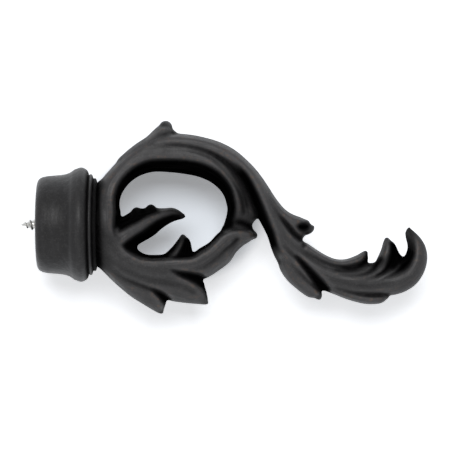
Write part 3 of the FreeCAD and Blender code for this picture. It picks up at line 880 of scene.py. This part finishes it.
def zinc_steel():
    """Bright zinc plate, a little stained."""
    mat, tree = new_material("zinc_steel")
    stain = noise(tree, 700.0, 4.0, add(tree, "TexCoord").outputs["Object"])
    tone = add(tree, "ValToRGB", {"Fac": stain})
    tone.color_ramp.elements[0].color = (0.34, 0.33, 0.31, 1)
    tone.color_ramp.elements[1].color = (0.66, 0.66, 0.64, 1)
    wire(tree.nodes["Principled BSDF"], {"Metallic": 1.0, "Base Color": tone.outputs["Color"],
                                         "Roughness": spread(tree, stain, 0.0, 1.0, 0.26, 0.46)})
    return mat


# The casting: the collar and the scroll as one piece.
collar_points, collar_faces, collar_looks = collar_mesh()
scroll_points, scroll_faces, scroll_looks = scroll_mesh()
points = np.vstack([collar_points, scroll_points]) * MM
faces = collar_faces + [tuple(f) for f in (scroll_faces + len(collar_points))]
casting = mesh_object("scroll_casting", points, faces)
casting.data.materials.append(satin_black())
looks = np.hstack([collar_looks, scroll_looks]).astype(np.float32)
# the painted shade and the painted highlight go on the mesh's points as attributes
for name, values in (("painted_recess_shade", looks[0]), ("crest", looks[1])):
    casting.data.attributes.new(name, "FLOAT", "POINT").data.foreach_set("value", values)
flow = np.stack([looks[2], looks[3], points[:, 1] / MM], 1)
casting.data.attributes.new("flow", "FLOAT_VECTOR", "POINT").data.foreach_set("vector", flow.ravel())
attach(casting, "root")
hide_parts("finial_casting")

screw_points, screw_faces = screw_mesh()
screw = mesh_object("threaded_screw", screw_points * MM, screw_faces)
screw.data.materials.append(zinc_steel())
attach(screw, "root")
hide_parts("dowel_screw")

# The stage, in metres: the finial lies on a pale floor that the camera looks straight down on. The
# photo is FRAME_PX square, PIXEL is the real size of one of its pixels, and the part's origin lies at
# ORIGIN_PX in it.
PIXEL = 0.4472 * MM
ORIGIN_PX = (37.66, 224.6)
FRAME_PX = 450
CAMERA_FAR = 1.27
SENSOR_WIDTH = 36.0
FLOOR_Y = casting_high.y + 0.0004
FLOOR_CORNERS = ((-2.0, -2.0), (2.2, -2.0), (2.2, 2.0), (-2.0, 2.0))
aim_x = (FRAME_PX / 2 - ORIGIN_PX[0]) * PIXEL
aim_z = (ORIGIN_PX[1] - FRAME_PX / 2) * PIXEL

# The floor behind the ring's hole has a painted shadow, greyer and cooler than the open floor. The one
# turns into the other between these distances past the hole's edge, in millimetres.
HOLE_SHADOW_END = 11
OPEN_FLOOR_START = 20
HOLE_SHADOW_PAPER = (0.52, 0.56, 0.61, 1)
OPEN_PAPER = (0.64, 0.66, 0.69, 1)
HOLE_SHADOW_GLOW = 0.24
OPEN_GLOW = 0.50
# The floor's colour to the light that bounces off it, which is duller than what the camera sees.
DULL_PAPER = (0.30, 0.30, 0.31, 1)
# The world's strength as light on the object. To the camera it is one.
ROOM_LIGHT = 0.15


def seen_ray(tree, path):
    """One for camera, glossy and transmission rays, else zero."""
    glossy = math_of(tree, "MAXIMUM", path.outputs["Is Camera Ray"], path.outputs["Is Glossy Ray"])
    return math_of(tree, "MAXIMUM", glossy, path.outputs["Is Transmission Ray"])


def floor_material():
    """White to the camera with the object's soft shadow and a painted shadow behind the ring's hole, and
    clear when seen from behind.
    """
    mat, tree = new_material("pale_floor")
    tree.nodes.clear()
    # an oval distance round the ring's middle, which places the painted shadow
    squash = HOLE_HALF_WIDTH / HOLE_HALF_HEIGHT
    oval = add(tree, "Mapping", {"Vector": add(tree, "TexCoord").outputs["Object"],
                                 "Location": (-RING_X * MM, 0, -RING_Z * squash * MM),
                                 "Scale": (1, 0, squash)})
    reach = add(tree, "VectorMath", {0: oval.outputs["Vector"]}, operation="LENGTH")
    open_floor = add(tree, "MapRange", {"Value": reach.outputs["Value"],
                                        "From Min": (HOLE_HALF_WIDTH + HOLE_SHADOW_END) * MM,
                                        "From Max": (HOLE_HALF_WIDTH + OPEN_FLOOR_START) * MM},
                     interpolation_type="SMOOTHSTEP").outputs["Result"]
    paper = add(tree, "BsdfDiffuse", {"Color": blend(tree, open_floor, HOLE_SHADOW_PAPER, OPEN_PAPER)})
    glow = add(tree, "Emission", {"Color": (1.0, 1.0, 1.0, 1),
                                  "Strength": spread(tree, open_floor, 0, 1, HOLE_SHADOW_GLOW, OPEN_GLOW)})
    # the paper counts twice, so that the shadow on it stays as the glow lifts it to white
    twice = add(tree, "AddShader", {0: paper.outputs[0], 1: paper.outputs[0]})
    lit = add(tree, "AddShader", {0: twice.outputs[0], 1: glow.outputs[0]})
    dull = add(tree, "BsdfDiffuse", {"Color": DULL_PAPER})
    path = add(tree, "LightPath")
    seen = add(tree, "MixShader", {0: seen_ray(tree, path), 1: dull.outputs[0], 2: lit.outputs[0]})
    clear = add(tree, "BsdfTransparent")
    behind = add(tree, "NewGeometry").outputs["Backfacing"]
    hide = math_of(tree, "MAXIMUM", behind, path.outputs["Is Shadow Ray"])
    final = add(tree, "MixShader", {0: hide, 1: seen.outputs[0], 2: clear.outputs[0]})
    add(tree, "OutputMaterial", {"Surface": final.outputs[0]})
    return mat


floor = mesh_object("pale_floor", [(x, FLOOR_Y, z) for x, z in FLOOR_CORNERS], [(0, 1, 2, 3)], smooth=False)
floor.data.materials.append(floor_material())


def area_light(name, place, size, power):
    """A soft light, aimed at the object's middle."""
    data = bpy.data.lights.new(name, "AREA")
    data.shape = "RECTANGLE"
    data.size, data.size_y = size
    data.energy = power
    obj = bpy.data.objects.new(name, data)
    bpy.context.scene.collection.objects.link(obj)
    obj.location = place
    obj.rotation_euler = (Vector((aim_x, 0, 0)) - Vector(place)).to_track_quat("-Z", "Y").to_euler()


area_light("front_soft", place=(0.02, -1.25, 0.48), size=(0.80, 0.55), power=8.0)
area_light("low_soft", place=(0.10, -0.80, -1.05), size=(1.20, 0.80), power=2.6)
area_light("back_soft", place=(0.10, 1.20, 0.60), size=(1.20, 0.90), power=9.0)

world = bpy.data.worlds.new("studio")
world.use_nodes = True
bpy.context.scene.world = world
seen_by_camera = seen_ray(world.node_tree, add(world.node_tree, "LightPath"))
wire(world.node_tree.nodes["Background"], {
    "Color": (0.97, 0.98, 1.0, 1),
    "Strength": spread(world.node_tree, seen_by_camera, 0.0, 1.0, ROOM_LIGHT, 1.0)})

camera_data = bpy.data.cameras.new("camera")
camera_data.sensor_width = SENSOR_WIDTH
camera_data.lens = SENSOR_WIDTH * CAMERA_FAR / (FRAME_PX * PIXEL)
camera_data.clip_end = 20.0
camera = bpy.data.objects.new("camera", camera_data)
camera.location = (aim_x, -CAMERA_FAR, aim_z)
camera.rotation_euler = (math.pi / 2, 0, 0)
bpy.context.scene.collection.objects.link(camera)
bpy.context.scene.camera = camera
bpy.context.scene.view_settings.view_transform = "Standard"
